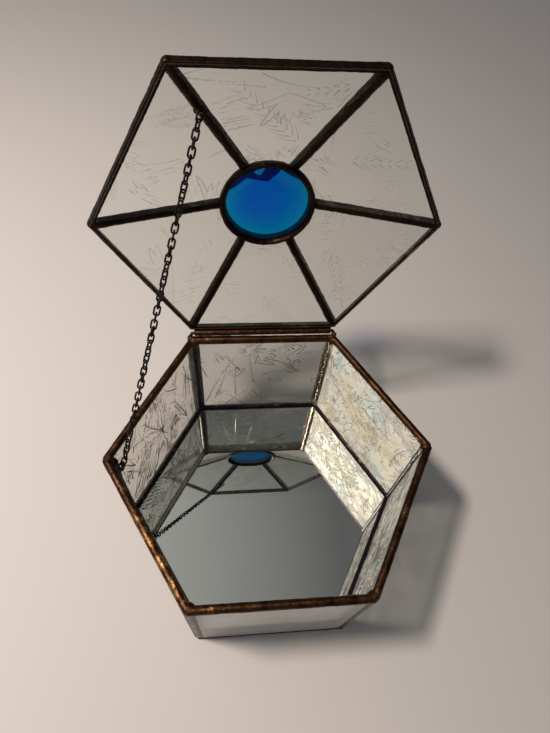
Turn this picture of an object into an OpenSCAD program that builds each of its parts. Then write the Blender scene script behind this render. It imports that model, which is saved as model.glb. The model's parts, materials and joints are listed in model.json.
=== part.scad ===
// Glass casket box: a hexagonal box of foiled and soldered glass panels with a
// hinged glass lid, a round jewel in the lid and a chain that stops it open.
// Millimetres, +Z up. The origin is on the table, under the middle of the box.
// The front faces -Y and the hinge is at the back, on +Y.

/* [Box] */
// Side of the hexagon that runs through the middle of the wall glass
side = 72; // [66:1:78]
// Height of the middle of the rim bead above the table
rim_z = 76.5; // [70:0.5:84]
// Height of the mirror floor's top face above the table
mirror_z = 8.2; // [7.5:0.1:10]
// Thickness of the wall, lid and mirror glass
glass_t = 3; // [2.8:0.1:3.1]
// Radius of the rim bead on the walls
rim_r = 1.75; // [1.7:0.05:1.8]

/* [Lid] */
// Side of the lid's hexagon along its edge beads, over the box's own side
lid_over = 1; // [0.5:0.5:1.5]
// Height of the lid glass's apex above the lid's edge
lid_rise = 20.4; // [19:0.2:22]
// Radius of the lid's edge bead
lid_rim_r = 1.6; // [1.55:0.05:1.65]
// Angle from the shut lid to the lid as the taut chain holds it
lid_open = 94.5; // [90:0.5:96]

/* [Seams and foil] */
// Thickness of the copper foil on the glass edges
foil_t = 0.06; // [0.04:0.01:0.08]
// Width of the foil folded over each face of the glass
foil_lap = 1.6; // [1.4:0.1:1.8]
// Radius of the solder seams between the lid panels
seam_r = 2.2; // [2:0.1:2.3]

/* [Jewel] */
// Radius of the faceted jewel at its girdle
jewel_r = 19; // [17:0.5:20]
// Height of the jewel's outer crown above its girdle
crown_h = 5; // [3:0.5:7]
// Depth of the jewel's inner facets below its girdle
back_h = 1.6; // [1:0.2:2.4]

/* [Hinge] */
// Radius of the hinge rod
rod_r = 0.79; // [0.7:0.01:0.85]
// Running clearance between the rod and the tube
rod_gap = 0.05; // [0.02:0.01:0.1]
// Wall of the hinge tube
tube_wall = 0.35; // [0.3:0.05:0.4]
// Half the length of the hinge tube
tube_half = 33.6; // [30:0.2:34]

/* [Chain] */
// Radius of the wire that the links are made of
wire_r = 0.33; // [0.25:0.01:0.34]
// Outer width of a link
link_w = 3.1; // [2.8:0.1:3.2]
// Looseness of each link in the next
link_slack = 0.26; // [0.2:0.02:0.3]

/* [Hidden] */
$fn = 48;

// Walls, corners and the mirror
apothem = side * cos(30);
inner_apothem = apothem - glass_t / 2;
inner_corner = inner_apothem / cos(30);
panel_joint = 0.2;
panel_w = 2 * inner_apothem * tan(30) - 2 * panel_joint;
panel_z0 = 0.9;
panel_z1 = rim_z - 0.1;
mirror_gap = 0.5;

// Solder on the walls: foot, corners, rim and floor
foot_h = 2;
foot_lap = 0.25;
rim_skirt = 1.8;
corner_r = 3.15;
corner_shift = -0.12;
fillet_r = 1.7;
corner_cut = inner_corner + corner_shift + corner_r;
bar_stop = 1.3;
lump_r = 2.6;
lump_in = 0.84;
lump_skirt = 1.5;
lid_lump_r = 2.1;
lid_lump_in = 0.8;
lid_lump_up = 0.45;

// Names of the walls and corners, with the direction that each one faces
WALLS = [["front", 270], ["front_right", 330], ["back_right", 30],
         ["back", 90], ["back_left", 150], ["front_left", 210]];
CORNERS = [["right", 0], ["back_right", 60], ["back_left", 120],
           ["left", 180], ["front_left", 240], ["front_right", 300]];

// Lid, written shut and turned about the hinge to where the chain holds it
lid_side = side + lid_over;
lid_gap = 0.18;
lid_z = rim_z + rim_r + lid_gap + lid_rim_r;
lid_apothem = lid_side * cos(30);
lid_slope = atan(lid_rise / lid_apothem);
hip_slope = atan(lid_rise / lid_side);
facet_joint = 0.2;
facet_inset = 0.3;
seam_end = 2.6;

// Hinge
hinge_y = apothem + 3.19;
hinge_z = rim_z + 1.87;
tube_r = rod_r + rod_gap + tube_wall;
tube_fillet_r = 1.2;
rod_bend_r = 1.6;
rod_leg_x = side / 2 + 0.4;
rod_leg_z = rim_z - 10.5;
rod_solder_r = 1.8;
rod_solder_len = 5.5;

// Jewel in its ring
girdle_h = 3.4;
jewel_z = lid_z + 14.3;
ring_r = 2.2;
ring_path_r = jewel_r + 0.45;
facet_hole_r = jewel_r + 1.2;
jewel_window_r = jewel_r - 1.2;
jewel_points = 16;

// Eyes that hold the chain: in the left corner, and under the lid's front left seam
eye_wire_r = 0.31;
eye_r = 1.3;
eye_gap = 0.17;
eye_lump_r = 1.3;
base_eye = [-inner_corner + 3.46, 0, rim_z - 10.8];
lid_eye_along = 0.715 * lid_side;
lid_eye_shut = [lid_eye_along * cos(240), lid_eye_along * sin(240), lid_z + 2.07];
base_eye_axis = [0.92, 0.36, -0.14];
base_eye_foot = base_eye + [-2.4, 1.3, -1];
base_eye_foot_r = 1.4;
lid_eye_axis = [-0.52, -0.05, 0.85];

// Chain, taut between the eyes. The link left out is the joint that is opened
// between the half carried by the base and the half carried by the lid.
BASE_RUNS = [4, 5, 5, 2, 2, 2, 2, 3];
LID_RUNS = [4, 5, 5, 5, 2, 2, 1];
links = 50;
link_turn = 90.34;

function sum(v, n) = n <= 0 ? 0 : v[n - 1] + sum(v, n - 1);
function unit(v) = v / norm(v);

// A point of the shut lid, carried to where the chain holds the lid open
function opened_point(p) = let (dy = p[1] - hinge_y, dz = p[2] - hinge_z)
    [p[0], hinge_y + cos(lid_open) * dy + sin(lid_open) * dz,
     hinge_z - sin(lid_open) * dy + cos(lid_open) * dz];

lid_eye = opened_point(lid_eye_shut);
chain_len = norm(lid_eye - base_eye);
chain_dir = unit(lid_eye - base_eye);
// From an eye's wire to the middle of the link on it is half a pitch and this
end_shift = link_slack / 2 - eye_wire_r - eye_gap;
pitch = (chain_len - 2 * end_shift) / links;
link_len = pitch + link_slack + 4 * wire_r;

// Turns a piece drawn on +X to face the given direction
module facing(a) {
    rotate([0, 0, a]) children();
}

// Carries the shut lid to where the chain holds it open
module opened() {
    translate([0, hinge_y, hinge_z]) rotate([-lid_open, 0, 0])
        translate([0, -hinge_y, -hinge_z]) children();
}

// Hexagonal prism of a given apothem, with its corners in line with the box's
module hex_prism(a, z0, z1, turn = 0) {
    translate([0, 0, z0]) rotate([0, 0, turn]) cylinder(r = a / cos(30), h = z1 - z0, $fn = 6);
}

// Hexagonal ring between two apothems with its six corners cut off
module hex_ring(a_in, a_out, z0, z1) {
    intersection() {
        difference() {
            hex_prism(a_out, z0, z1);
            hex_prism(a_in, z0 - 1, z1 + 1);
        }
        hex_prism(corner_cut, z0 - 1, z1 + 1, 30);
    }
}

// A wall panel of glass facing +X, grown by g on every side
module wall_block(g = 0) {
    translate([inner_apothem - g, -panel_w / 2 - g, panel_z0 - g])
        cube([glass_t + 2 * g, panel_w + 2 * g, panel_z1 - panel_z0 + 2 * g]);
}

module all_wall_blocks() {
    for (w = WALLS) facing(w[1]) wall_block(foil_t);
}

module wall_glass(a) {
    color([0.86, 0.9, 0.88, 0.5]) facing(a) wall_block();
}

// Copper foil folded round the four edges of one wall panel
module wall_foil() {
    difference() {
        wall_block(foil_t);
        wall_block();
        translate([inner_apothem - 1, -panel_w / 2 + foil_lap, panel_z0 + foil_lap])
            cube([glass_t + 2, panel_w - 2 * foil_lap, panel_z1 - panel_z0 - 2 * foil_lap]);
    }
}

module wall_foils() {
    color("peru") for (w = WALLS) facing(w[1]) wall_foil();
}

module mirror_block(g = 0) {
    hex_prism(inner_apothem - mirror_gap + g, mirror_z - glass_t - g, mirror_z + g);
}

module floor_mirror() {
    color("lightgray") mirror_block();
}

module floor_foil() {
    color("peru") difference() {
        mirror_block(foil_t);
        mirror_block();
        hex_prism(inner_apothem - mirror_gap - foil_lap, 0, mirror_z + 2);
    }
}

// Solder in the corner at +X: a fillet inside and a filled, domed notch outside
module corner_post(z0, z1) {
    translate([0, 0, z0]) {
        intersection() {
            translate([inner_corner + corner_shift, 0, 0]) cylinder(r = corner_r, h = z1 - z0);
            translate([inner_corner, -5, 0]) cube([10, 10, z1 - z0]);
        }
        translate([inner_corner, 0, 0]) cylinder(r = fillet_r, h = z1 - z0);
    }
}

module corner_seam(a) {
    color("saddlebrown") difference() {
        facing(a) corner_post(foot_h, rim_z - rim_skirt);
        for (s = [-30, 30]) facing(a + s) wall_block(foil_t);
        mirror_block(foil_t);
    }
}

// Round bar of solder across +X at a distance from the middle
module bar(at, half, r, z) {
    translate([at, -half, z]) rotate([-90, 0, 0]) cylinder(r = r, h = 2 * half);
}

// Solder bead over the top edges of the walls and across the filled corners
module rim_bead() {
    color("saddlebrown") difference() {
        union() {
            hex_ring(apothem - rim_r + 0.05, apothem + rim_r - 0.05, rim_z - rim_skirt, rim_z);
            for (w = WALLS) facing(w[1]) bar(apothem, side / 2 - bar_stop, rim_r, rim_z);
            for (c = CORNERS) facing(c[1]) {
                corner_post(rim_z - rim_skirt, rim_z);
                intersection() {
                    translate([side - lump_in, 0, rim_z - lump_r + rim_r]) sphere(r = lump_r);
                    translate([side - 5, -5, rim_z - lump_skirt]) cube(10);
                }
            }
        }
        all_wall_blocks();
    }
}

// Solder along the bottom edges of the walls, flat underneath
module foot_bead() {
    half_w = glass_t / 2 + foil_t + foot_lap;
    color("saddlebrown") difference() {
        hex_ring(apothem - half_w, apothem + half_w, 0, foot_h);
        all_wall_blocks();
    }
}

// Round bead along the foot of every wall's inner face
module wall_foot_line(z) {
    for (w = WALLS) facing(w[1])
        bar(inner_apothem, inner_apothem * tan(30) - bar_stop, fillet_r, z);
}

// Solder between the mirror and the walls, above and below the mirror
module floor_seam() {
    color("saddlebrown") difference() {
        union() {
            wall_foot_line(mirror_z);
            wall_foot_line(mirror_z - glass_t);
        }
        all_wall_blocks();
        mirror_block(foil_t);
        for (c = CORNERS) facing(c[1]) corner_post(foot_h, rim_z);
    }
}

// One bent end of the hinge rod, with its leg down the outside of the corner
module rod_end() {
    translate([rod_leg_x - rod_bend_r, hinge_y, hinge_z - rod_bend_r]) {
        rotate([90, 0, 0]) rotate_extrude(angle = 90) translate([rod_bend_r, 0]) circle(r = rod_r);
        translate([rod_bend_r, 0, rod_leg_z - hinge_z + rod_bend_r])
            cylinder(r = rod_r, h = hinge_z - rod_bend_r - rod_leg_z);
    }
}

module hinge_rod() {
    straight = rod_leg_x - rod_bend_r;
    color("dimgray") {
        translate([-straight, hinge_y, hinge_z]) rotate([0, 90, 0])
            cylinder(r = rod_r, h = 2 * straight);
        rod_end();
        mirror([1, 0, 0]) rod_end();
    }
}

// Solder that holds one leg of the hinge rod to its corner
module rod_lump() {
    difference() {
        translate([rod_leg_x - 0.3, hinge_y - 0.8, rod_leg_z + rod_solder_r / 2]) {
            cylinder(r = rod_solder_r, h = rod_solder_len);
            sphere(r = rod_solder_r);
            translate([0, 0, rod_solder_len]) sphere(r = rod_solder_r);
        }
        rod_end();
        facing(60) corner_post(foot_h, rim_z);
        for (a = [30, 90]) facing(a) wall_block(foil_t);
    }
}

module hinge_rod_solder() {
    color("saddlebrown") {
        rod_lump();
        mirror([1, 0, 0]) rod_lump();
    }
}

module hinge_tube() {
    color("darkgoldenrod") translate([-tube_half, hinge_y, hinge_z]) rotate([0, 90, 0])
        difference() {
            cylinder(r = tube_r, h = 2 * tube_half);
            translate([0, 0, -1]) cylinder(r = rod_r + rod_gap, h = 2 * tube_half + 2);
        }
}

// A lid panel of the shut lid facing +X. Its outline grows by edge and its
// faces by thick, and it stops short of the hips and of the jewel's ring.
module facet_block(edge = 0, thick = 0) {
    tip = (facet_joint - edge) / sin(30);
    reach = lid_apothem / cos(lid_slope) - facet_inset + edge;
    difference() {
        intersection() {
            translate([0, 0, lid_z + lid_rise]) rotate([0, lid_slope, 0])
                translate([0, -lid_side, -glass_t / 2 - thick])
                    cube([reach, 2 * lid_side, glass_t + 2 * thick]);
            translate([tip, 0, lid_z - 5]) linear_extrude(lid_rise + 10)
                polygon([[0, 0], [lid_side, lid_side * tan(30)], [lid_side, -lid_side * tan(30)]]);
        }
        translate([0, 0, lid_z - 10]) cylinder(r = facet_hole_r - edge, h = lid_rise + 20);
    }
}

module lid_glass(a) {
    color([0.86, 0.9, 0.88, 0.5]) opened() facing(a) facet_block();
}

// Copper foil folded round the edges of one lid panel
module facet_foil() {
    difference() {
        facet_block(foil_t, foil_t);
        facet_block();
        facet_block(-foil_lap, 1);
    }
}

module lid_foils() {
    color("peru") opened() for (w = WALLS) facing(w[1]) facet_foil();
}

// Edge bead of the shut lid along the side that faces +X
module lid_edge() {
    bar(lid_apothem, lid_side / 2 - bar_stop, lid_rim_r, lid_z);
}

// Lump of solder on the corner of the shut lid at +X
module lid_corner() {
    translate([lid_side - lid_lump_in, 0, lid_z + lid_lump_up]) sphere(r = lid_lump_r);
}

module hinge_tube_space() {
    translate([-side, hinge_y, hinge_z]) rotate([0, 90, 0]) cylinder(r = tube_r, h = 2 * side);
}

// Solder bead round the lid's edge, with the fillet that carries the hinge tube
module lid_rim_bead() {
    color("saddlebrown") opened() difference() {
        union() {
            for (w = WALLS) facing(w[1]) lid_edge();
            for (c = CORNERS) facing(c[1]) lid_corner();
            translate([-tube_half, (lid_apothem + hinge_y) / 2, (lid_z + hinge_z) / 2])
                rotate([0, 90, 0]) cylinder(r = tube_fillet_r, h = 2 * tube_half);
        }
        for (w = WALLS) facing(w[1]) facet_block(foil_t, foil_t);
        hinge_tube_space();
    }
}

// Ring of solder that the jewel is set in
module ring_torus() {
    translate([0, 0, jewel_z]) rotate_extrude() translate([ring_path_r, 0]) circle(r = ring_r);
}

// Solder seam of the shut lid along the hip that faces +X
module hip_rod() {
    from = lid_side - seam_end;
    translate([from, 0, lid_z + seam_end * tan(hip_slope)]) rotate([0, hip_slope - 90, 0])
        cylinder(r = seam_r, h = (from - ring_path_r) / cos(hip_slope));
}

module lid_seam(a) {
    color("saddlebrown") opened() difference() {
        facing(a) hip_rod();
        for (s = [-30, 30]) facing(a + s) facet_block(foil_t, foil_t);
        for (s = [-30, 30]) facing(a + s) lid_edge();
        facing(a) lid_corner();
        ring_torus();
    }
}

// Girdle of the jewel, grown by g
module girdle(g = 0) {
    translate([0, 0, jewel_z - girdle_h / 2 - g]) cylinder(r = jewel_r + g, h = girdle_h + 2 * g);
}

// Flat ring of points that a row of facets ends on
module facet_ring(r, z, turn) {
    translate([0, 0, z]) rotate([0, 0, turn]) cylinder(r = r, h = 0.01, $fn = jewel_points);
}

module jewel() {
    step = 180 / jewel_points;
    top = jewel_z + girdle_h / 2;
    low = jewel_z - girdle_h / 2;
    color("royalblue") opened() {
        girdle();
        hull() {
            facet_ring(jewel_window_r, top, 0);
            facet_ring(0.78 * jewel_window_r, top + 0.6 * crown_h, step);
            facet_ring(0.46 * jewel_window_r, top + crown_h, 0);
        }
        hull() {
            facet_ring(jewel_window_r, low - 0.01, 0);
            facet_ring(0.7 * jewel_window_r, low - back_h, step);
        }
    }
}

module jewel_foil() {
    color("peru") opened() difference() {
        girdle(foil_t);
        girdle();
        translate([0, 0, jewel_z - girdle_h]) cylinder(r = jewel_window_r, h = 2 * girdle_h);
    }
}

module jewel_ring() {
    color("saddlebrown") opened() difference() {
        ring_torus();
        for (w = WALLS) facing(w[1]) facet_block(foil_t, foil_t);
        girdle(foil_t);
    }
}

// Puts a piece at a point, with its X along one direction and its Y towards another
module framed(at, along, toward) {
    x = unit(along);
    z = unit(cross(x, toward));
    y = cross(z, x);
    multmatrix([[x[0], y[0], z[0], at[0]], [x[1], y[1], z[1], at[1]],
                [x[2], y[2], z[2], at[2]], [0, 0, 0, 1]]) children();
}

// Wire eye whose outermost point is at the origin, with a lump of solder behind
module eye() {
    translate([0, eye_r, 0]) rotate_extrude() translate([eye_r, 0]) circle(r = eye_wire_r);
    translate([0, 2 * eye_r + 0.4, 0]) sphere(r = eye_lump_r);
}

module chain_eye_base() {
    color("dimgray") difference() {
        union() {
            framed(base_eye, base_eye_axis, [-1, 0, 0]) eye();
            translate(base_eye_foot) sphere(r = base_eye_foot_r);
        }
        facing(180) corner_post(foot_h, rim_z);
        for (a = [150, 210]) facing(a) wall_block(foil_t);
    }
}

module chain_eye_lid() {
    color("dimgray") opened() difference() {
        framed(lid_eye_shut, lid_eye_axis, [0, 0, 1]) eye();
        facing(240) hip_rod();
        for (a = [210, 270]) facing(a) facet_block(foil_t, foil_t);
    }
}

// One oval link in the XZ plane, with its length along X
module link() {
    bend = link_w / 2 - wire_r;
    run = link_len / 2 - link_w / 2;
    for (s = [-1, 1]) {
        translate([s * run, 0, 0]) rotate([90, s * 90 - 90, 0]) rotate([0, 0, -90])
            rotate_extrude(angle = 180) translate([bend, 0]) circle(r = wire_r);
        translate([-run, 0, s * bend]) rotate([0, 90, 0]) cylinder(r = wire_r, h = 2 * run);
    }
}

// Links from first up to, but not including, last, counted from the base's eye
module link_run(first, last) {
    color("dimgray") for (i = [first:last - 1])
        framed(base_eye + (end_shift + (i + 0.5) * pitch) * chain_dir, chain_dir, base_eye_axis)
            rotate([i * link_turn, 0, 0]) link();
}

for (w = WALLS) wall_glass(w[1]);
wall_foils();
floor_mirror();
floor_foil();
for (c = CORNERS) corner_seam(c[1]);
rim_bead();
foot_bead();
floor_seam();
hinge_rod();
hinge_rod_solder();
chain_eye_base();
for (w = WALLS) lid_glass(w[1]);
lid_foils();
for (c = CORNERS) lid_seam(c[1]);
lid_rim_bead();
jewel();
jewel_foil();
jewel_ring();
hinge_tube();
chain_eye_lid();
for (i = [1:len(BASE_RUNS)]) link_run(sum(BASE_RUNS, i - 1), sum(BASE_RUNS, i));
for (i = [1:len(LID_RUNS)]) link_run(links - sum(LID_RUNS, i), links - sum(LID_RUNS, i - 1));
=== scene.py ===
import json
import math
import random

import bpy
from mathutils import Matrix, Vector, kdtree, noise


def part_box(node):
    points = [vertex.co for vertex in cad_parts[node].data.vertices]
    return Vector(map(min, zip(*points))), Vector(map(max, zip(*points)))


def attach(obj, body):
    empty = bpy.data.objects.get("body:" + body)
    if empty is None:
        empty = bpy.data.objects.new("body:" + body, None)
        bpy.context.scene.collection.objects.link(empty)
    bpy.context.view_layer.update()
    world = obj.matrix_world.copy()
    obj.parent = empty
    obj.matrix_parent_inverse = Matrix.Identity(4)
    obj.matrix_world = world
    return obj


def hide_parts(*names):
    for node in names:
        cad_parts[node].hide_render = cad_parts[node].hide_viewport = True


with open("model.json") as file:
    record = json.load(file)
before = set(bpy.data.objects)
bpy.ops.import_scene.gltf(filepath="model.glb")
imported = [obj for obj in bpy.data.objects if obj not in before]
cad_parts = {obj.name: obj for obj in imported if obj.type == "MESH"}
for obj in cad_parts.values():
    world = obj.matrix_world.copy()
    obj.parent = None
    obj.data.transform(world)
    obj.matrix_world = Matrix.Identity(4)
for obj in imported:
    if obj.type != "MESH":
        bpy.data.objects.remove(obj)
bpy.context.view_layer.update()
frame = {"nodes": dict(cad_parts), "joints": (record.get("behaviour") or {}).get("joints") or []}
nodes = frame["nodes"]
joints = {joint["name"]: joint for joint in frame["joints"]}

# Directions that the walls and the corners face, in degrees
WALLS = {
    "front": 270, "front_right": 330, "back_right": 30, "back": 90, "back_left": 150, "front_left": 210}
CORNERS = {
    "right": 0, "back_right": 60, "back_left": 120, "left": 180, "front_left": 240, "front_right": 300}
COS_30 = math.cos(math.radians(30))
TAN_30 = math.tan(math.radians(30))

# Box, in metres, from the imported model
wall_low, wall_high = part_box("wall_glass_front")
WALL_AT = -(wall_low.y + wall_high.y) / 2
GLASS_T = wall_high.y - wall_low.y
INNER_AT = WALL_AT - GLASS_T / 2
INNER_CORNER = INNER_AT / COS_30
SIDE = WALL_AT / COS_30
PANEL_HALF = wall_high.x
PANEL_LOW, PANEL_HIGH = wall_low.z, wall_high.z
rim_low, rim_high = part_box("rim_bead")
RIM_R = -rim_low.y - WALL_AT
RIM_Z = rim_high.z - RIM_R
RIM_SKIRT = RIM_Z - rim_low.z
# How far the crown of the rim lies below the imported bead, on most sides and at the back
RIM_DROP = 0.00055
BACK_RIM_DROP = 0.0001
# Least height of the shut lid's solder over the rim
LID_CLEARANCE = 0.00014
foot_low, foot_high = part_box("foot_bead")
FOOT_H = foot_high.z
FOOT_HALF = -foot_low.y - WALL_AT
mirror_low, mirror_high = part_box("floor_mirror")
# Corner solder: its fillet inside, and the round post outside with its shift from the inner corner
FILLET_R = 0.0017
POST_R = 0.00315
POST_SHIFT = -0.00012
# Lump of solder on each corner of the rim
LUMP_R = 0.0026
# Cell sizes in which solder is melted together
SOLDER_CELL = 0.00034
LONG_BEAD_CELL = 0.00036

# Hinge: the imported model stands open, and shut places are turned to open ones
HINGE_AT = Vector(joints["lid_hinge"]["pos_m"])
LID_OPEN = math.radians(joints["lid_hinge"]["range_deg"][1])
OPENED = Matrix.Translation(HINGE_AT) @ Matrix.Rotation(-LID_OPEN, 4, "X") @ Matrix.Translation(-HINGE_AT)
SHUT = OPENED.inverted()


def shut_box(node):
    """Lowest and highest corner of a lid node as it lies when shut."""
    places = [SHUT @ v.co for v in nodes[node].data.vertices]
    low = Vector(min(p[i] for p in places) for i in range(3))
    high = Vector(max(p[i] for p in places) for i in range(3))
    return low, high


# Lid, as it lies when shut
LID_RIM_R = 0.0016
LID_RISE = 0.0204
LID_SEAM_R = 0.0022
lid_low, _ = shut_box("lid_rim_bead")
LID_AT = -lid_low.y - LID_RIM_R
LID_SIDE = LID_AT / COS_30
LID_Z = lid_low.z + LID_RIM_R
LID_SLOPE = math.atan(LID_RISE / LID_AT)
HIP_SLOPE = math.atan(LID_RISE / LID_SIDE)
ring_low, ring_high = shut_box("jewel_ring")
RING_R = (ring_high.z - ring_low.z) / 2
RING_Z = (ring_high.z + ring_low.z) / 2
RING_PATH = ring_high.x - RING_R
jewel_low, jewel_high = shut_box("jewel")
JEWEL_R = jewel_high.x
FACET_EDGE = math.atan(math.cos(LID_SLOPE) * TAN_30)
FACET_REACH = LID_AT / math.cos(LID_SLOPE) - 0.0003
FOIL_LAP = 0.0012
FOIL_T = 0.00006
# Radius of the hole that the facets leave for the jewel, and half the width of its ring
HOLE_R = 0.01955
RING_HALF = 0.0012
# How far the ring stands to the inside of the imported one, and the jewel's back to the outside
RING_INWARD = 0.0015
JEWEL_INSET = 0.0007
# Grid pitch of the chipped glass
PANEL_PITCH = 0.00033

# Hinge tube, and the rod's bent legs behind the back corners
_, tube_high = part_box("hinge_tube")
TUBE_HALF = tube_high.x + 0.0011
TUBE_R = 0.0016
LEG_X, LEG_Y = 0.0370, 0.0648
LEG_FOOT_Z, LEG_TOP_Z = 0.0655, 0.0766
LEG_SOLDER_R = 0.0012

# Chain
BASE_EYE = Vector(joints["chain_base_1_turn"]["pos_m"])
LID_EYE = Vector(joints["chain_lid_1_turn"]["pos_m"])
CHAIN_DIR = (LID_EYE - BASE_EYE).normalized()
BASE_EYE_AXIS = Vector(joints["chain_base_1_turn"]["axis"])
LID_EYE_AXIS = Vector(joints["chain_lid_1_turn"]["axis"])
EYE_R = 0.0013
# From the base eye to the foot of its wire
EYE_FOOT = Vector((-0.0024, 0.0013, -0.001))
# Number of links in each stretch of the chain, counted from the base's eye and from the lid's
BASE_RUNS = [4, 5, 5, 2, 2, 2, 2, 3]
LID_RUNS = [4, 5, 5, 5, 2, 2, 2]
LINKS = sum(BASE_RUNS) + sum(LID_RUNS)
# Each link is turned against the last, and the whole chain is twisted once
LINK_TURN = math.radians(90.34)
CHAIN_TWIST = 2 * math.pi
# Where the chain starts from the eye's centre, and how loosely each link hangs in the next
END_SHIFT = -0.00035
LINK_SLACK = 0.00034
WIRE_R = 0.0004
LINK_W = 0.0031
PITCH = ((LID_EYE - BASE_EYE).length - 2 * END_SHIFT) / LINKS
LINK_LEN = PITCH + LINK_SLACK + 4 * WIRE_R

# Camera, as the photograph was taken
CAMERA_AT = Vector((-0.01959, -0.09486, 0.29431))
CAMERA_LOOKS_AT = Vector((0.00524, 0.04748, 0.0765))
CAMERA_ROLL = math.radians(6.88)
CAMERA_LENS = 34.58
CAMERA_SHIFT = (-0.0015, -0.0064)


# Helpers

def select_only(*objects):
    bpy.ops.object.select_all(action="DESELECT")
    for obj in objects:
        obj.select_set(True)
    bpy.context.view_layer.objects.active = objects[0]


def facing(degrees):
    return Matrix.Rotation(math.radians(degrees), 4, "Z")


def bake_place(obj):
    """Puts the object's place into its mesh."""
    select_only(obj)
    bpy.ops.object.transform_apply(location=True, rotation=True, scale=True)
    return obj


def carried(obj, matrix):
    """Moves the points of a piece by a matrix."""
    obj.data.transform(matrix)
    return obj


def modify(obj, kind, **settings):
    """Adds a modifier and applies it."""
    select_only(obj)
    modifier = obj.modifiers.new(kind.title(), kind)
    for key, value in settings.items():
        setattr(modifier, key, value)
    bpy.ops.object.modifier_apply(modifier=modifier.name)
    return obj


def join(name, objects):
    select_only(*objects)
    if len(objects) > 1:
        bpy.ops.object.join()
    obj = bpy.context.view_layer.objects.active
    obj.name = name
    obj.data.name = name
    return obj


def smooth(obj, degrees=None):
    select_only(obj)
    if degrees is None:
        bpy.ops.object.shade_smooth()
    else:
        bpy.ops.object.shade_smooth_by_angle(angle=math.radians(degrees))
    return obj


def new_object(name, data):
    obj = bpy.data.objects.new(name, data)
    bpy.context.scene.collection.objects.link(obj)
    return obj


def bar(start, end, radius, sides=20):
    """Round bar between two points."""
    start, end = Vector(start), Vector(end)
    turn = (end - start).to_track_quat("Z", "Y").to_euler()
    bpy.ops.mesh.primitive_cylinder_add(
        vertices=sides, radius=radius, depth=(end - start).length, location=(start + end) / 2,
        rotation=turn)
    return bake_place(bpy.context.object)


def ball(at, radius):
    bpy.ops.mesh.primitive_uv_sphere_add(segments=20, ring_count=12, radius=radius, location=at)
    return bake_place(bpy.context.object)


def ring(path, thick, around, across, at=(0, 0, 0), turn=(0, 0, 0), stretch=1.0):
    """Ring of round wire, with its numbers of corners, which may be drawn out along its axis."""
    bpy.ops.mesh.primitive_torus_add(
        major_segments=around, minor_segments=across, major_radius=path, minor_radius=thick,
        location=at, rotation=turn)
    bpy.context.object.scale.z = stretch
    return bake_place(bpy.context.object)


def block(low, high):
    low, high = Vector(low), Vector(high)
    bpy.ops.mesh.primitive_cube_add(size=1, location=(low + high) / 2)
    obj = bpy.context.object
    obj.scale = high - low
    return bake_place(obj)


def edit_all(obj):
    """Goes into edit mode with all of a piece selected."""
    select_only(obj)
    bpy.ops.object.mode_set(mode="EDIT")
    bpy.ops.mesh.select_all(action="SELECT")


def edited():
    bpy.ops.object.mode_set(mode="OBJECT")


def cut_away(obj, point, normal, close=True):
    """Cuts off what lies on the normal's side of a plane, and may close the cut."""
    edit_all(obj)
    bpy.ops.mesh.bisect(plane_co=point, plane_no=normal, use_fill=close, clear_outer=True)
    edited()
    return obj


def clouds(name, size):
    texture = bpy.data.textures.new(name, "CLOUDS")
    texture.noise_scale = size
    texture.noise_depth = 2
    return texture


BROAD_LUMPS = clouds("broad lumps", 0.0065)
FINE_LUMPS = clouds("fine lumps", 0.0016)


def run_solder(name, parts, cell=SOLDER_CELL, broad=0.00035, fine=0.00016, rounds=3):
    """Melts plain parts into one uneven bead of solder."""
    obj = join(name, parts)
    modify(obj, "REMESH", mode="VOXEL", voxel_size=cell)
    modify(obj, "SMOOTH", factor=0.6, iterations=rounds)
    for lumps, strength in ((BROAD_LUMPS, broad), (FINE_LUMPS, fine)):
        modify(obj, "DISPLACE", texture=lumps, strength=strength, mid_level=0.5, texture_coords="LOCAL")
    return smooth(obj)


def hold_in(obj, node):
    """Keeps a piece within the lowest and highest corner of a CAD node."""
    low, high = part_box(node)
    for vertex in obj.data.vertices:
        for i in range(3):
            vertex.co[i] = min(max(vertex.co[i], low[i]), high[i])
    return obj


def hold_up(obj):
    """Keeps a piece of the lid clear of the box's rim when the lid is shut."""
    for vertex in obj.data.vertices:
        vertex.co.z = max(vertex.co.z, rim_high.z + LID_CLEARANCE)
    return obj


def mark(obj, name, values, domain="POINT"):
    """Keeps a value for each point or face of a piece, for its material."""
    obj.data.attributes.new(name, "FLOAT", domain).data.foreach_set("value", values)


def paint(obj, material):
    obj.data.materials.clear()
    obj.data.materials.append(material)


def finish_piece(obj, body, slot, material, *replaced):
    """Gives a finished piece its body and its material. The slot argument is not used."""
    paint(obj, material)
    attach(obj, body)
    if replaced:
        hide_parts(*replaced)


# Materials

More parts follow.
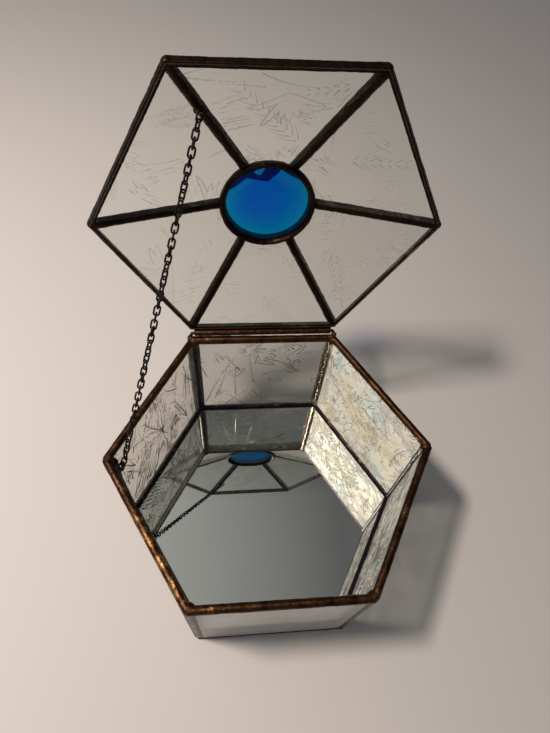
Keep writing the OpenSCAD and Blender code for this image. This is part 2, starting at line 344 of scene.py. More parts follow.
class Recipe:
    """The nodes of a material, or of the room's light, built up by short calls."""

    def __init__(self, name, room=False):
        self.owner = (bpy.data.worlds if room else bpy.data.materials).new(name)
        self.owner.use_nodes = True
        self.tree = self.owner.node_tree
        self.tree.nodes.clear()
        self.output = self.tree.nodes.new("ShaderNodeOutputWorld" if room else "ShaderNodeOutputMaterial")
        self.coords = self.add("ShaderNodeTexCoord").outputs["Generated" if room else "Object"]

    def put(self, socket, value):
        if isinstance(value, bpy.types.NodeSocket):
            self.tree.links.new(value, socket)
        else:
            socket.default_value = value

    def add(self, kind, inputs=(), **settings):
        node = self.tree.nodes.new(kind)
        for key, value in settings.items():
            setattr(node, key, value)
        for key, value in dict(inputs).items():
            self.put(node.inputs[key], value)
        return node

    def noise(self, scale, detail=3.0, rough=0.5, warp=0.0, coords=None):
        node = self.add("ShaderNodeTexNoise", {
            "Vector": coords or self.coords, "Scale": scale, "Detail": detail,
            "Roughness": rough, "Distortion": warp})
        return node.outputs["Fac"]

    def attribute(self, name):
        return self.add("ShaderNodeAttribute", attribute_name=name).outputs["Fac"]

    def math(self, operation, a, b=0.0, clamp=False):
        node = self.add("ShaderNodeMath", operation=operation, use_clamp=clamp)
        self.put(node.inputs[0], a)
        self.put(node.inputs[1], b)
        return node.outputs[0]

    def between(self, value, low, high, to_low=0.0, to_high=1.0):
        """Stretches a value from low..high to another span, and holds it there."""
        node = self.add("ShaderNodeMapRange", {
            "Value": value, "From Min": low, "From Max": high, "To Min": to_low, "To Max": to_high})
        return node.outputs["Result"]

    def vector(self, operation, *values):
        node = self.add("ShaderNodeVectorMath", operation=operation)
        for socket, value in zip(node.inputs, values):
            self.put(socket, value)
        return node.outputs["Value" if operation == "DISTANCE" else "Vector"]

    def cells(self, coords, scale):
        """Cells that each have a tone of their own."""
        return self.add("ShaderNodeTexVoronoi", {"Vector": coords, "Scale": scale}).outputs["Color"]

    def grazing(self):
        """0 where a face is seen straight on, and rising to 1 where it is seen along its surface."""
        facing_away = self.add("ShaderNodeLayerWeight", {"Blend": 0.5}).outputs["Facing"]
        return self.math("POWER", facing_away, 4.5)

    def ramp(self, value, *stops):
        node = self.add("ShaderNodeValToRGB", {"Fac": value})
        elements = node.color_ramp.elements
        while len(elements) < len(stops):
            elements.new(1.0)
        for element, (position, colour) in zip(elements, stops):
            element.position = position
            element.color = (*colour, 1.0)
        return node.outputs["Color"]

    def blend(self, factor, a, b):
        node = self.add("ShaderNodeMix", data_type="RGBA")
        self.put(node.inputs["Factor"], factor)
        self.put(node.inputs["A"], a if isinstance(a, bpy.types.NodeSocket) else (*a, 1.0))
        self.put(node.inputs["B"], b if isinstance(b, bpy.types.NodeSocket) else (*b, 1.0))
        return node.outputs["Result"]

    def bump(self, height, strength, distance):
        node = self.add("ShaderNodeBump", {"Height": height, "Strength": strength, "Distance": distance})
        return node.outputs["Normal"]

    def mix(self, factor, a, b):
        node = self.add("ShaderNodeMixShader")
        self.put(node.inputs[0], factor)
        self.put(node.inputs[1], a)
        self.put(node.inputs[2], b)
        return node.outputs[0]

    def done(self, shader):
        self.put(self.output.inputs["Surface"], shader)
        return self.owner

    def metal(self, colour, metallic, rough, normal=None):
        """Finishes a material as metal."""
        inputs = {"Base Color": colour, "Metallic": metallic, "Roughness": rough}
        if normal:
            inputs["Normal"] = normal
        return self.done(self.add("ShaderNodeBsdfPrincipled", inputs).outputs[0])


def solder_finish(name, dark, middle, bright, worn=0.62, shine=0.3, wear_and_sheen_places=(), pitted=0.75,
                  size=130.0, streak=1.0):
    """Patina solder: dark hollows and warm worn patches, more of them round given places, which hold wear
    and painted highlights and reflections.
    """
    r = Recipe(name)
    drawn_out = r.vector("MULTIPLY", r.coords, (1.0, 1.0, streak))
    patches = r.noise(size, 6.0, 0.6, 0.6, drawn_out)
    # Given places get more bright patches: wear and a painted highlight on the rim, painted glints on the
    # ring, a painted reflection on the seams
    for at, reach in wear_and_sheen_places:
        far = r.vector("DISTANCE", r.coords, at)
        patches = r.math("ADD", patches, r.between(far, 0.3 * reach, reach, 0.14, 0.0))
    colour = r.ramp(patches, (0.34, dark), (0.5, middle), (worn, middle), (worn + 0.1, bright))
    specks = r.between(r.noise(1100.0, 4.0, 0.65), 0.42, 0.62)
    colour = r.blend(r.math("MULTIPLY", specks, pitted), colour, dark)
    rough = r.between(r.noise(420.0, 3.0), 0.3, 0.7, shine, shine + 0.25)
    return r.metal(colour, 0.95, rough, r.bump(r.noise(700.0, 5.0, 0.65), 0.55, 0.0004))


def painted_sheen_shard_tones(r):
    """Shards whose pale tones paint the sheen of the light they catch: white and cream, with yellow areas,
    pale blue areas that are painted highlights, and grey spots.
    """
    colour = r.ramp(r.noise(42.0, 2.0, 0.5), (0.36, (0.94, 0.88, 0.66)), (0.44, (0.95, 0.93, 0.84)),
                    (0.56, (0.96, 0.96, 0.93)), (0.61, (0.68, 0.90, 0.95)), (0.66, (0.95, 0.94, 0.88)))
    drift = r.add("ShaderNodeTexNoise", {"Vector": r.coords, "Scale": 190.0, "Detail": 3.0})
    warped = r.vector("MULTIPLY_ADD", drift.outputs["Color"], (0.012, 0.012, 0.012), r.coords)
    grey = (0.68, 0.67, 0.60)
    colour = r.blend(r.between(r.cells(warped, 260.0), 0.1, 0.6, 0.15, 0.0), colour, grey)
    feather = r.between(r.noise(1000.0, 4.0, 0.65, 2.5), 0.34, 0.46, 0.45, 0.0)
    colour = r.blend(feather, colour, grey)
    spots = r.math("MULTIPLY", r.between(r.noise(85.0, 2.0, 0.5), 0.62, 0.70), r.noise(500.0, 4.0, 0.7))
    return r.blend(r.math("MULTIPLY", spots, 1.4, True), colour, (0.20, 0.20, 0.185))


def glass_finish(name, tint, frost, stroke, haze, line, painted_sheen_shards=False):
    """Chipped glass: what is behind shows through, and the chipped face holds frost and fine strokes."""
    r = Recipe(name)
    chipped = r.attribute("chipped")
    leaf = r.attribute("leaf")
    crisp = r.between(r.attribute("line"), 0.22, 0.62)
    lines = r.math("MAXIMUM", crisp, r.math("MULTIPLY", leaf, 0.5))
    plates = r.noise(75.0, 3.0, 0.55, 1.5)
    grit = r.noise(650.0, 4.0, 0.7, 1.2)
    # A panel with painted sheen takes the shard tones in place of its frost colour
    ground = painted_sheen_shard_tones(r) if painted_sheen_shards else r.blend(r.between(plates, 0.35, 0.65), frost, tint)
    colour = r.blend(lines, ground, stroke)
    veil = r.between(plates, 0.3, 0.7, 0.55 * haze, 1.45 * haze)
    veil = r.math("MULTIPLY", veil, r.between(grit, 0.35, 0.65, 0.75, 1.25))
    veil = r.math("MULTIPLY", veil, r.between(leaf, 0.0, 1.0, 0.8, 1.8))
    veil = r.math("ADD", veil, r.math("MULTIPLY", lines, line))
    veil = r.math("MULTIPLY", veil, chipped)
    factor = r.math("ADD", veil, r.math("ADD", r.math("MULTIPLY", r.grazing(), 0.9), 0.02), True)
    ripples = r.math("MULTIPLY", r.math("ADD", r.noise(300.0, 4.0, 0.6, 2.0), lines), chipped)
    bump = r.bump(ripples, 0.6, 0.0004)
    body = r.add("ShaderNodeBsdfPrincipled", {
        "Base Color": colour, "Roughness": 0.45 if painted_sheen_shards else 0.2,
        "Specular IOR Level": 0.35 if painted_sheen_shards else 0.5, "Normal": bump})
    see = r.add("ShaderNodeBsdfTransparent", {"Color": (*tint, 1.0)})
    return r.done(r.mix(factor, see.outputs[0], body.outputs[0]))


def mirror_finish():
    r = Recipe("silvered mirror glass")
    colour = r.ramp(r.noise(14.0, 2.0, 0.5), (0.3, (0.84, 0.88, 0.84)), (0.7, (0.92, 0.94, 0.91)))
    dust = r.noise(2600.0, 2.0, 0.7)
    return r.metal(colour, 1.0, r.between(dust, 0.62, 0.8, 0.015, 0.12))


def jewel_finish():
    """Deep blue glass, with teal towards its edge painted as light that gathers there, and navy painted as
    a dark reflection on the facets of the back towards the lid's front side.
    """
    r = Recipe("deep blue jewel glass")
    out = r.attribute("out")
    shade = r.attribute("shade")
    # Blue of the glass, turning brighter and teal towards the edge: the teal edge is painted light that
    # gathers at the girdle
    deep = r.ramp(out, (0.30, (0.0, 0.34, 0.99)), (0.75, (0.0, 0.50, 0.97)), (0.98, (0.0, 0.72, 0.86)))
    # Marked facets are painted navy, in what shows through and in the body: a painted dark reflection of
    # the crown facets behind them
    see = r.add("ShaderNodeBsdfTransparent", {"Color": r.blend(shade, deep, (0.0, 0.03, 0.20))})
    swirl = r.bump(r.noise(60.0, 2.0), 0.05, 0.002)
    # The body also turns teal towards the edge, with the same painted light
    colour = r.ramp(out, (0.35, (0.0, 0.06, 0.42)), (0.95, (0.0, 0.24, 0.42)))
    body = r.add("ShaderNodeBsdfPrincipled", {
        "Base Color": r.blend(shade, colour, (0.0, 0.001, 0.05)), "Roughness": 0.05,
        "Specular IOR Level": 0.6, "Normal": swirl})
    factor = r.math("ADD", r.math("MULTIPLY", r.grazing(), 0.6), 0.18, True)
    return r.done(r.mix(factor, see.outputs[0], body.outputs[0]))


def worn_finish(name, dark, bright, rough, wear=(700.0, 0.42, 0.68), grain=(2600.0, 2.0, 0.25, 0.0001)):
    """Dark metal with bright worn places and a fine grain."""
    r = Recipe(name)
    size, low, high = wear
    colour = r.ramp(r.noise(size, 4.0, 0.6), (low, dark), (high, bright))
    size, detail, strength, distance = grain
    return r.metal(colour, 0.9, rough, r.bump(r.noise(size, detail), strength, distance))


# Stage

def place_camera():
    data = bpy.data.cameras.new("camera")
    camera = new_object("camera", data)
    turn = (CAMERA_LOOKS_AT - CAMERA_AT).to_track_quat("-Z", "Y").to_matrix().to_4x4()
    camera.matrix_world = Matrix.Translation(CAMERA_AT) @ turn @ Matrix.Rotation(CAMERA_ROLL, 4, "Z")
    data.sensor_fit = "HORIZONTAL"
    data.sensor_width = 36
    data.lens = CAMERA_LENS
    data.shift_x, data.shift_y = CAMERA_SHIFT
    data.clip_start = 0.01
    bpy.context.scene.camera = camera


def lay_floor():
    bpy.ops.mesh.primitive_plane_add(size=6)
    floor = bpy.context.object
    floor.name = "floor"
    r = Recipe("plain pale floor")
    shader = r.add("ShaderNodeBsdfPrincipled", {"Base Color": (0.60, 0.578, 0.58, 1.0), "Roughness": 0.9})
    floor.data.materials.append(r.done(shader.outputs[0]))


def hang_lamp(name, at, aim, size, power, colour):
    data = bpy.data.lights.new(name, "AREA")
    data.shape = "DISK"
    data.size = size
    data.energy = power
    data.color = colour
    lamp = new_object(name, data)
    lamp.location = at
    lamp.rotation_euler = (Vector(aim) - Vector(at)).to_track_quat("-Z", "Y").to_euler()


def light_room():
    """The room is bright on the left, and dim on the right and behind."""
    r = Recipe("studio", True)
    split = r.add("ShaderNodeSeparateXYZ", {"Vector": r.coords})
    # Along X from left to right, and from a little behind the box up to straight behind it
    across = r.between(split.outputs["X"], -1.0, 1.0)
    behind = r.between(split.outputs["Y"], 0.32, 0.60, 0.0, 0.19)
    glow = r.ramp(r.math("ADD", across, behind), (0.0, (0.30, 0.295, 0.29)), (0.43, (0.35, 0.345, 0.325)),
                  (0.60, (0.105, 0.105, 0.105)), (1.0, (0.11, 0.115, 0.135)))
    light = r.add("ShaderNodeBackground", {"Color": glow, "Strength": 1.0})
    bpy.context.scene.world = r.done(light.outputs[0])


bpy.context.scene.view_settings.view_transform = "Standard"
place_camera()
lay_floor()
hang_lamp("key", (-0.31, 0.0, 0.70), (-0.56, 0.0, 0.0), 0.11, 6.6, (1.0, 0.87, 0.745))
light_room()

# The rim is golden round the front left: partly wear, partly a painted highlight of the key lamp on that
# side
RIM_SOLDER = solder_finish(
    "copper brown rim solder", (0.014, 0.007, 0.004), (0.080, 0.035, 0.016), (0.36, 0.20, 0.085), 0.61,
    0.3, [((-0.050, -0.046, 0.077), 0.035)])
LID_SOLDER = solder_finish(
    "dark lid solder", (0.008, 0.005, 0.004), (0.026, 0.013, 0.007), (0.14, 0.07, 0.03), 0.66)
# Bright patches round the ring's lower side are painted glints
RING_SOLDER = solder_finish(
    "brown ring solder", (0.008, 0.005, 0.004), (0.026, 0.012, 0.007), (0.30, 0.10, 0.03), 0.64, 0.34,
    [((0.004, 0.087, 0.122), 0.022)])
# Gold patches round the foot of the back right wall are a painted reflection of the bright back right
# panel; the blue black elsewhere is patina
SEAM_SOLDER = solder_finish(
    "blue black corner solder", (0.007, 0.006, 0.010), (0.020, 0.015, 0.023), (0.26, 0.15, 0.06), 0.64,
    0.25, [((0.050, 0.030, 0.008), 0.045)])
# Bright gold and silver streaks along this seam are a painted reflection of the bright back right panel,
# with painted highlights along the bead
PAINTED_REFLECTION_CORNER_SOLDER = solder_finish(
    "corner solder with painted reflection", (0.03, 0.018, 0.009), (0.13, 0.07, 0.03), (0.92, 0.80, 0.56), 0.50,
    0.12, (), 0.25, 480.0, 0.10)
GREY_SOLDER = solder_finish(
    "grey outer corner solder", (0.05, 0.045, 0.045), (0.16, 0.15, 0.145), (0.34, 0.30, 0.26), 0.6, 0.25)
MIRROR = mirror_finish()
JEWEL = jewel_finish()
FOIL = worn_finish("dark tinned copper foil", (0.018, 0.013, 0.011), (0.09, 0.055, 0.035), 0.42,
                   (500.0, 0.35, 0.7), (1500.0, 3.0, 0.3, 0.0002))
CHAIN_WIRE = worn_finish("dark chain wire", (0.010, 0.006, 0.005), (0.065, 0.038, 0.027), 0.38)
HINGE_WIRE = worn_finish("brown hinge wire", (0.03, 0.011, 0.006), (0.15, 0.055, 0.025), 0.4)


# Frost pattern of the chipped glass: pale leaves with dark outlines and twigs, over bundles of fine strokes

# Steps between the points of a leaf and of a stroke
LEAF_STEP = 0.0006
STROKE_STEP = 0.0003
# Gaps between a twig's side strokes, between a sprig's pairs and between the strokes of a bundle
TWIG_GAP = 0.0021
SPRIG_GAP = 0.0033
BUNDLE_GAP = 0.0012
# A stroke is not seen farther off than this
STROKE_REACH = 0.0008
# How strong the outline of a large leaf is
OUTLINE = 0.42


def curved_way(start, heading, length, bend, step, least):
    """Points along a curve: how far along it each one lies, its place, and the way it heads."""
    x, y = start
    steps = max(least, round(length / step))
    for i in range(steps + 1):
        t = i / steps
        turn = heading + bend * t
        yield t, x, y, turn
        x += math.cos(turn) * length / steps
        y += math.sin(turn) * length / steps


class Frost:
    """Leaves and strokes of one panel, as marked points in the panel's own plane."""

    def __init__(self, seed):
        self.rng = random.Random(seed)
        self.leaves = []
        self.twigs = []
        self.ground = []

    def stroke(self, start, heading, length, bend, strength, strokes):
        """A thin curved line that fades at its end. Returns the way it took."""
        way = []
        for t, x, y, turn in curved_way(start, heading, length, bend, STROKE_STEP, 2):
            way.append((x, y, turn))
            strokes.append((x, y, strength * (1 - 0.5 * t)))
        return way

    def twig(self, start, heading, length, bend, reach, strength):
        """A stem with short side strokes in turn on its left and right."""
        way = self.stroke(start, heading, length, bend, strength, self.twigs)
        gap = max(2, round(TWIG_GAP * len(way) / length))
        side = 1
        for x, y, turn in way[gap::gap]:
            side = -side
            self.stroke((x, y), turn + side * self.rng.uniform(0.6, 0.95),
                        reach * self.rng.uniform(0.4, 1.1), -side * 0.4, 0.9 * strength, self.twigs)

    def leaf(self, start, heading, length, bend, half, fill, rim):
        """A pointed leaf: its widest part lies before its middle."""
        for t, x, y, turn in curved_way(start, heading, length, bend, LEAF_STEP, 4):
            wide = half * 1.9 * (t + 0.03) ** 0.6 * (1.03 - t) ** 0.8
            self.leaves.append((x, y, turn, wide, fill, rim))

    def almond(self, start, heading, length, bend, half):
        """A pale leaf with a dark outline, a twig for its midrib and smaller twigs at its base."""
        self.leaf(start, heading, length, bend, half, 0.0, OUTLINE)
        self.twig(start, heading, 0.85 * length, bend, 0.55 * half, 1.0)
        if half > 0.004:
            for side in (-1, 1):
                self.twig(start, heading + side * 0.22, 0.5 * length, bend, 0.25 * half, 0.8)

    def frond(self, start, heading, length, bend, leaf_length, half, fill):
        """A bent stem with paired leaves that get shorter towards its tip."""
        rng = self.rng
        way = self.stroke(start, heading, length, bend, 0.7, self.twigs)
        gap = max(1, round(half * 4.2 * len(way) / length))
        for place, (x, y, turn) in enumerate(way[gap::gap]):
            t = (place + 1) * gap / len(way)
            for side in (-1, 1):
                reach = leaf_length * (1.05 - 0.75 * t) * rng.uniform(0.7, 1.15)
                self.leaf((x, y), turn + side * rng.uniform(0.7, 1.0), reach,
                          -side * rng.uniform(0.2, 0.6), half * rng.uniform(0.75, 1.1) * (1.1 - 0.4 * t),
                          fill * rng.uniform(0.6, 1.3), 0.45)

    def sprig(self, start, heading, length, bend, reach):
        """Pairs of slender curved strokes that get shorter along an unseen stem."""
        way = self.stroke(start, heading, length, bend, 0.0, [])
        gap = max(2, round(SPRIG_GAP * len(way) / length))
        for place, (x, y, turn) in enumerate(way[gap::gap]):
            long = reach * (1.1 - 0.7 * place * gap / len(way)) * self.rng.uniform(0.8, 1.1)
            for side in (-1, 1):
                at = (x - side * math.sin(turn) * 0.0007, y + side * math.cos(turn) * 0.0007)
                self.stroke(at, turn + side * 0.72, long, -side * 0.6, 0.95, self.twigs)

    def fan(self, start, heading, count, length, half):
        """Small almond leaves that spread from one point."""
        rng = self.rng
        for i in range(count):
            spread = (i - (count - 1) / 2) * rng.uniform(0.26, 0.34)
            self.leaf(start, heading + spread, length * rng.uniform(0.6, 1.1),
                      spread * rng.uniform(0.1, 0.7), half * rng.uniform(0.7, 1.2),
                      rng.uniform(0.0, 0.4), rng.uniform(0.4, 0.8))

    def bundle(self, start, heading, count, length, strength):
        """Fine strokes side by side, all nearly one way."""
        rng = self.rng
        for i in range(count):
            off = (i - (count - 1) / 2) * BUNDLE_GAP * rng.uniform(0.8, 1.2)
            along = rng.uniform(-0.25, 0.25) * length
            at = (start[0] - math.sin(heading) * off + math.cos(heading) * along,
                  start[1] + math.cos(heading) * off + math.sin(heading) * along)
            self.stroke(at, heading + rng.uniform(-0.10, 0.10), length * rng.uniform(0.5, 1.0),
                        rng.uniform(-0.3, 0.3), strength * rng.uniform(0.65, 1.15), self.ground)

    def scatter(self, low, high, fronds, fans, bundles, hairs, size, grain=None):
        """Covers a panel with fronds, fans, long hairlines, and bundles that may follow a grain."""
        rng = self.rng

        def spot():
            return rng.uniform(low[0], high[0]), rng.uniform(low[1], high[1])

        def any_way():
            return rng.uniform(-math.pi, math.pi)

        for _ in range(fronds):
            self.frond(spot(), any_way(), size * rng.uniform(0.020, 0.034),
                       rng.uniform(-0.9, 0.9), size * rng.uniform(0.005, 0.008), size * 0.0005,
                       rng.uniform(0.3, 0.9))
        for _ in range(fans):
            self.fan(spot(), any_way(), rng.randint(5, 8), size * rng.uniform(0.007, 0.014),
                     size * rng.uniform(0.0010, 0.0018))
        for _ in range(bundles):
            heading = any_way() if grain is None else math.radians(rng.gauss(grain, 16))
            self.bundle(spot(), heading, rng.randint(4, 9), rng.uniform(0.006, 0.013), 0.8)
        for _ in range(hairs):
            self.stroke(spot(), any_way(), rng.uniform(0.02, 0.05), rng.uniform(-1.2, 1.2), 0.8,
                        self.twigs)

    def draw(self, marks):
        """Sets marks at known places, given in millimetres and degrees."""
        for kind, places in marks:
            for x, y, heading, length, bend, width in places:
                at = (x / 1000, y / 1000)
                heading, bend = math.radians(heading), math.radians(bend)
                length, half = length / 1000, width / 1000
                if kind == "almond":
                    self.almond(at, heading, length, bend, half)
                elif kind == "twig":
                    self.twig(at, heading, length, bend, half, 0.8)
                elif kind == "sprig":
                    self.sprig(at, heading, length, bend, half)
                elif kind == "fan":
                    self.fan(at, heading, 6, length, half)
                elif kind == "bundle":
                    self.bundle(at, heading, width, length, 1.0)
                else:
                    self.stroke(at, heading, length, bend, 1.0, self.twigs)


def point_tree(points):
    """Tree that finds the nearest of some points; with no points it holds one that is far away."""
    points = points or [(9.0, 9.0, 0.0)]
    tree = kdtree.KDTree(len(points))
    for i, point in enumerate(points):
        tree.insert((point[0], point[1], 0), i)
    tree.balance()
    return tree


def press_frost(obj, frost, depth, stroke):
    """Presses leaves and strokes into the chipped face, and keeps them as attributes for the glass."""
    leaf_tree = point_tree(frost.leaves)
    stroke_sets = [(point_tree(strokes), strokes) for strokes in (frost.twigs, frost.ground)]
    leaf_marks = [0.0] * len(obj.data.vertices)
    line_marks = list(leaf_marks)
    for i, vertex in enumerate(obj.data.vertices):
        if vertex.co.z < -1e-6:
            continue
        x, y = vertex.co.x, vertex.co.y
        best = None
        for _, number, distance in leaf_tree.find_n((x, y, 0), 4):
            lx, ly, turn, wide, fill, rim = frost.leaves[number]
            dx, dy = x - lx, y - ly
            ahead = dx * math.cos(turn) + dy * math.sin(turn)
            side = abs(dy * math.cos(turn) - dx * math.sin(turn))
            if abs(ahead) > 1.5 * LEAF_STEP:
                side = distance
            if best is None or side / wide < best[0]:
                best = (side / wide, side, wide, fill, rim)
        ratio, side, wide, fill, rim = best
        inside = min(1.0, max(0.0, (1.1 - ratio) / 0.2))
        line = rim * math.exp(-((side - wide) / stroke) ** 2)
        for (tree, strokes), shown in zip(stroke_sets, (1.0, 1.0 - inside)):
            _, number, distance = tree.find((x, y, 0))
            if distance < STROKE_REACH and strokes:
                line = max(line, shown * strokes[number][2] * math.exp(-(distance / stroke) ** 2))
        leaf_marks[i] = inside * min(1.0, fill)
        line = min(1.0, line)
        line_marks[i] = line
        plate = noise.noise(vertex.co * 90) * 0.5 + noise.noise(vertex.co * 300) * 0.25
        vertex.co.z += depth * (0.7 * plate + 0.5 * inside * (1 - ratio * ratio) - line)
    mark(obj, "leaf", leaf_marks)
    mark(obj, "line", line_marks)


def glass_slab(name, half, low, high, pitch, arc=0.0):
    """A flat grid, X across and Y up it, whose lower edge may follow the jewel's round hole."""
    bpy.ops.mesh.primitive_grid_add(
        x_subdivisions=round(2 * half / pitch), y_subdivisions=round((high - low) / pitch), size=1)
    obj = bpy.context.object
    obj.name = name
    obj.scale = (2 * half, high - low, 1)
    obj.location = (0, (high + low) / 2, 0)
    bake_place(obj)
    if arc:
        for vertex in obj.data.vertices:
            start = math.sqrt(arc ** 2 - min(abs(vertex.co.x), 0.8 * arc) ** 2) / math.cos(LID_SLOPE)
            vertex.co.y = start + (vertex.co.y - low) / (high - low) * (high - start)
    return obj


def thicken(obj):
    """Gives the sheet its edge and its flat outer face, and marks the chipped face."""
    edit_all(obj)
    bpy.ops.mesh.region_to_loop()
    bpy.ops.mesh.extrude_edges_move(TRANSFORM_OT_translate={"value": (0, 0, -GLASS_T)})
    bpy.ops.mesh.edge_face_add()
    bpy.ops.mesh.select_all(action="SELECT")
    bpy.ops.mesh.normals_make_consistent(inside=False)
    edited()
    mark(obj, "chipped", [1.0 if v.co.z > -1e-6 else 0.0 for v in obj.data.vertices])


# Marks that stand out on single panels, by kind: place, heading, length, bend and width, in mm and
# degrees. The width of a bundle is its number of strokes.
WALL_MARKS = {
    "back_left": [
        ("almond", [(0, 42, 59, 33, 14, 8.5), (0, 42, 92, 23, 6, 3.0), (0, 42, 132, 15, -10, 2.6),
            (-21, 22, 78, 38, -8, 6.5), (-16, 60, 40, 15, 20, 2.8), (0, 42, -54, 12, 10, 1.8),
            (0, 42, -85, 14, -8, 1.9), (1, 41, -118, 13, 8, 1.7), (0, 42, -12, 12, 14, 1.8)]),
        ("bundle", [(27, 18, 120, 26, 0, 10), (16, 15, 112, 22, 0, 10), (20, 34, 128, 18, 0, 8),
            (-27, 60, -84, 28, 0, 8), (-29, 32, -88, 24, 0, 7), (-4, 18, 100, 18, 0, 9),
            (5, 26, 110, 12, 0, 8)]),
        ("twig", [(-12, 48, -110, 20, 8, 3.0), (-24, 70, -100, 22, 10, 2.4), (8, 72, -70, 18, 12, 2.6),
            (30, 50, -120, 20, 14, 2.4), (2, 74, -96, 14, 6, 2.2), (-18, 72, -70, 16, -12, 2.4),
            (14, 44, -30, 16, 16, 2.2)]),
        ("bundle", [(30, 40, 95, 14, 0, 7)]),
        ("twig", [(-8, 36, 168, 20, -16, 3.0), (10, 62, 140, 18, 12, 2.6), (-30, 48, 60, 20, 14, 2.6),
            (22, 62, -150, 18, 10, 2.6), (0, 42, 112, 22, -10, 2.4), (0, 42, 20, 20, 14, 2.6),
            (-16, 34, -70, 18, 10, 2.4), (24, 34, 150, 16, -10, 2.4)]),
        ("almond", [(24, 46, 60, 22, 14, 4.2)]),
        ("bundle", [(-10, 30, 80, 14, 0, 7), (12, 8, 118, 14, 0, 9), (0, 8, 106, 12, 0, 9)]),
    ],
    "back": [
        ("twig", [(31.7, 15, 106, 29, 4, 3.2), (26.2, 19.7, 106, 32, -6, 3.4),
            (21, 11, 125, 30, 5, 3.2), (13.8, 22.5, 86, 32, 8, 3.4), (3.6, 35.7, 81, 31, 6, 3.0),
            (7, 8, 60, 20, -12, 2.6)]),
        ("hair", [(-0.6, 44, 145, 12, 10, 0)]),
        ("fan", [(22, 9, 40, 8, 0, 1.2), (-14, 62, 190, 12, 0, 1.3)]),
        ("twig", [(30, 44, 75, 22, 6, 2.6), (22, 46, 118, 18, -8, 2.4), (12, 50, 60, 18, 10, 2.6)]),
        ("bundle", [(-6, 58, 20, 16, 0, 6), (-18, 48, 35, 14, 0, 6), (2, 20, 70, 12, 0, 5)]),
    ],
}
LID_MARKS = {
    "front": [
        ("sprig", [(11.5, 32.3, 137, 34, -6, 9.5)]),
        ("hair", [(-5.2, 63.4, -28, 25, 34, 0), (-31.8, 62, 18, 8, 0, 0), (-30, 61, -8, 21, 12, 0)]),
        ("sprig", [(27, 60, 196, 17, -8, 3.2)]),
        ("bundle", [(-19, 50, 22, 11, 0, 5), (-16, 42, 14, 11, 0, 6), (6, 50, 5, 16, 0, 4),
            (1, 24, 120, 6, 0, 10), (-6, 25, 150, 7, 0, 7), (8, 27, 60, 7, 0, 7),
            (13, 44, 160, 9, 0, 5)]),
        ("twig", [(-4, 58, 172, 17, 10, 3.0), (20, 50, 200, 12, -10, 2.2)]),
    ],
    "front_right": [
        ("hair", [(-24.3, 44, -42, 18, 14, 0)]),
        ("sprig", [(-8, 40, 62, 25, 10, 6.5)]),
        ("bundle", [(-10, 30, 30, 10, 0, 7)]),
    ],
    "back_right": [
        ("sprig", [(2, 38, 52, 28, -14, 6.5)]),
        ("hair", [(20, 52, 148, 12, 8, 0)]),
        ("fan", [(14, 52, 60, 10, 0, 1.5)]),
    ],
}

# How each wall panel looks: colours of the glass, of its frost and of its strokes, haze, line strength,
# numbers of fronds, fans, bundles and hairlines, and whether it shows bright shards painted with the sheen
# of the light they catch
WALL_LOOKS = {
    "front": (
        (0.86, 0.87, 0.85), (0.88, 0.88, 0.86), (0.90, 0.90, 0.87),
        0.56, 0.5, 7, 9, 60, 4, False),
    "front_right": (
        (0.66, 0.67, 0.645), (0.26, 0.27, 0.25), (0.80, 0.81, 0.77),
        0.20, 0.6, 6, 8, 60, 4, False),
    # The back right panel's bright shards and high haze are its milky frost raised to a painted sheen of
    # the key lamp's light, with painted pale blue highlights
    "back_right": (
        (0.93, 0.92, 0.86), (0.97, 0.94, 0.84), (0.25, 0.24, 0.18),
        1.3, 0.8, 9, 20, 120, 8, True),
    "back": (
        (0.82, 0.825, 0.81), (0.55, 0.56, 0.55), (0.05, 0.048, 0.035),
        0.05, 0.85, 1, 3, 12, 2, False),
    "back_left": (
        (0.935, 0.925, 0.895), (0.74, 0.73, 0.69), (0.045, 0.042, 0.036),
        0.07, 0.92, 0, 3, 36, 3, False),
    "front_left": (
        (0.84, 0.84, 0.81), (0.64, 0.63, 0.60), (0.10, 0.10, 0.09),
        0.12, 0.7, 5, 7, 50, 3, False),
}
# Heading of the fine strokes, in degrees, where they all run nearly one way
WALL_GRAIN = {"back_left": 112, "back": 62, "front_right": 84}
# Panels whose strokes stand out dark against the floor behind them have a finer grid
FINE_PANELS = ("back_left", "back")
FINE_PITCH = 0.00028
# Depth and stroke width of the frost
WALL_FROST = (0.00014, 0.00032)
LID_FROST = (0.00010, 0.00026)


def wall_panels():
    """Six wall panels, chipped on the face that looks into the box."""
    for number, (side, turn) in enumerate(WALLS.items()):
        tint, chips, strokes, haze, line, fronds, fans, bundles, hairs, painted_sheen_shards = WALL_LOOKS[side]
        pitch = FINE_PITCH if side in FINE_PANELS else PANEL_PITCH
        panel = glass_slab("wall_panel_" + side, PANEL_HALF, PANEL_LOW, PANEL_HIGH, pitch)
        thicken(panel)
        frost = Frost(11 + number)
        frost.draw(WALL_MARKS.get(side, []))
        frost.scatter((-PANEL_HALF, PANEL_LOW), (PANEL_HALF, PANEL_HIGH), fronds, fans, bundles, hairs,
                      1.0, WALL_GRAIN.get(side))
        press_frost(panel, frost, *WALL_FROST)
        smooth(panel, 40)
        to_wall = Matrix(((0, 0, -1, INNER_AT), (1, 0, 0, 0), (0, 1, 0, 0), (0, 0, 0, 1)))
        carried(panel, facing(turn) @ to_wall)
        material = glass_finish("chipped glass of the %s wall" % side.replace("_", " "), tint, chips,
                                strokes, haze, line, painted_sheen_shards)
        finish_piece(panel, "root", "clear_glass", material, "wall_glass_" + side)


